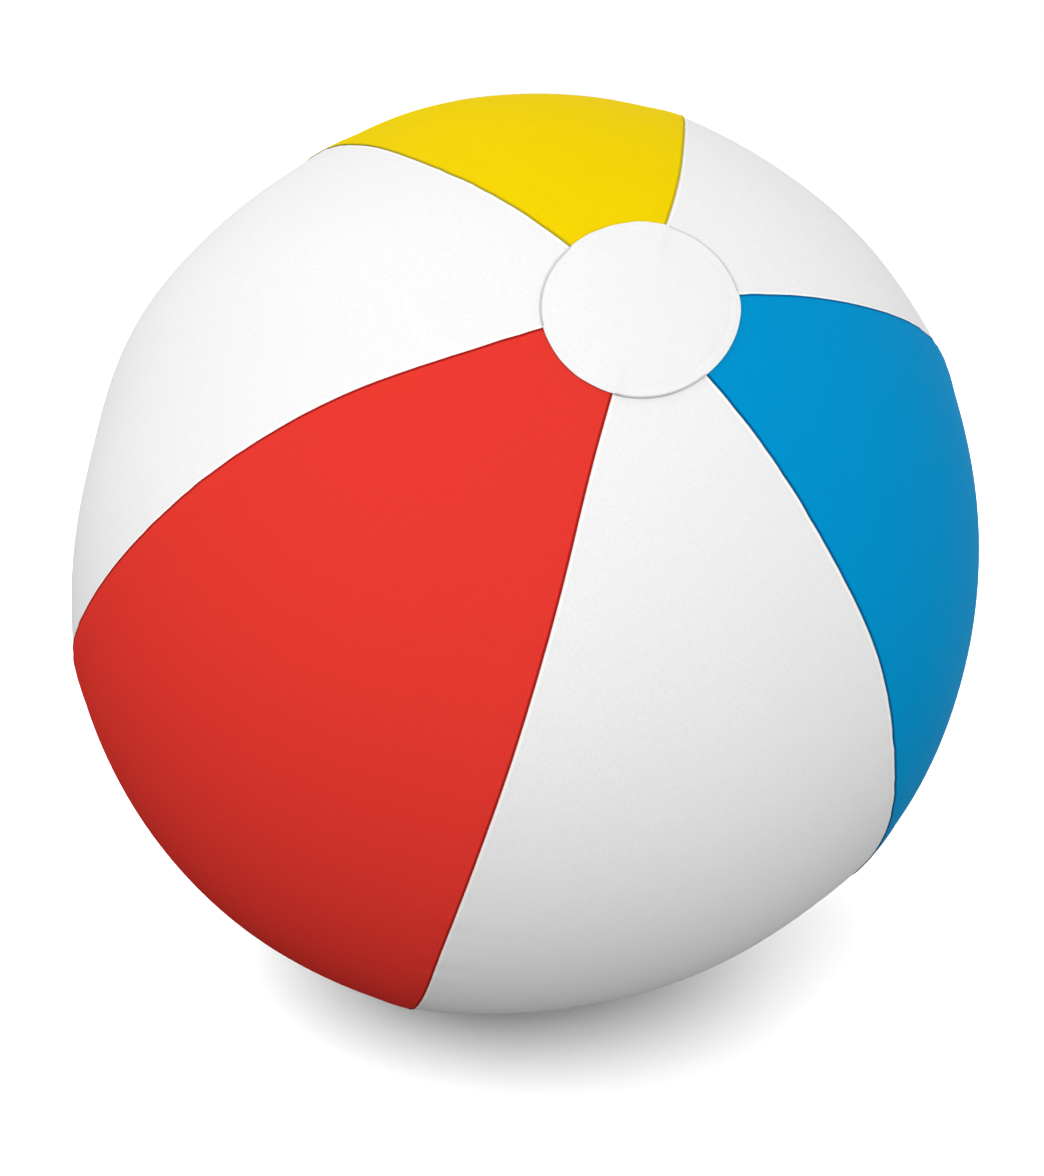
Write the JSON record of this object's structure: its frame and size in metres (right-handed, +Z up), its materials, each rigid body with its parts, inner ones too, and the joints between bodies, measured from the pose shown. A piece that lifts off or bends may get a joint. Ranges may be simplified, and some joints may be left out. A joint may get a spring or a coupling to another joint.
{
  "type": "inflatable beach ball",
  "caption": "Inflatable vinyl beach ball of alternating white and coloured gores with a round disc at each end and a push-in air valve with a tethered plug.",
  "frame": {"origin": "centre of the ball", "axes": "+Z is up as the ball rests on a floor; the ball's own end-to-end axis leans 50 degrees from +Z towards -Y, with the plain end disc up front and the valve low at the back"},
  "size_m": [0.351, 0.3538, 0.3515],
  "materials": {
    "white_vinyl": "satin PVC film",
    "red_vinyl": "satin PVC film",
    "yellow_vinyl": "satin PVC film",
    "blue_vinyl": "satin PVC film",
    "clear_vinyl": "soft translucent moulded PVC"
  },
  "bodies": {
    "ball": {"panel_white_left": "white_vinyl", "panel_white_front": "white_vinyl", "panel_white_right": "white_vinyl", "panel_red": "red_vinyl", "panel_yellow": "yellow_vinyl", "panel_blue": "blue_vinyl", "front_end_disc": "white_vinyl", "valve_end_disc": "white_vinyl"},
    "valve": {"valve_stem": "clear_vinyl"},
    "plug": {"valve_plug": "clear_vinyl", "plug_strap": "clear_vinyl"},
    "flap": {"check_flap": "clear_vinyl"}
  },
  "joints": [
    {"name": "valve_push_in", "type": "slide", "parent": "ball", "child": "valve", "axis": [0, -0.766, 0.6428], "range_m": [0, 0.0135]},
    {"name": "plug_swing", "type": "hinge", "parent": "valve", "child": "plug", "pos_m": [0.0115, 0.149, -0.12502], "axis": [0, -0.6428, -0.766], "range_deg": [0, 95]},
    {"name": "flap_open", "type": "hinge", "parent": "valve", "child": "flap", "pos_m": [-0.0048, 0.13168, -0.11049], "axis": [0, -0.6428, -0.766], "range_deg": [0, 60], "stiffness_Nm_per_rad": 0.0002}
  ]
}
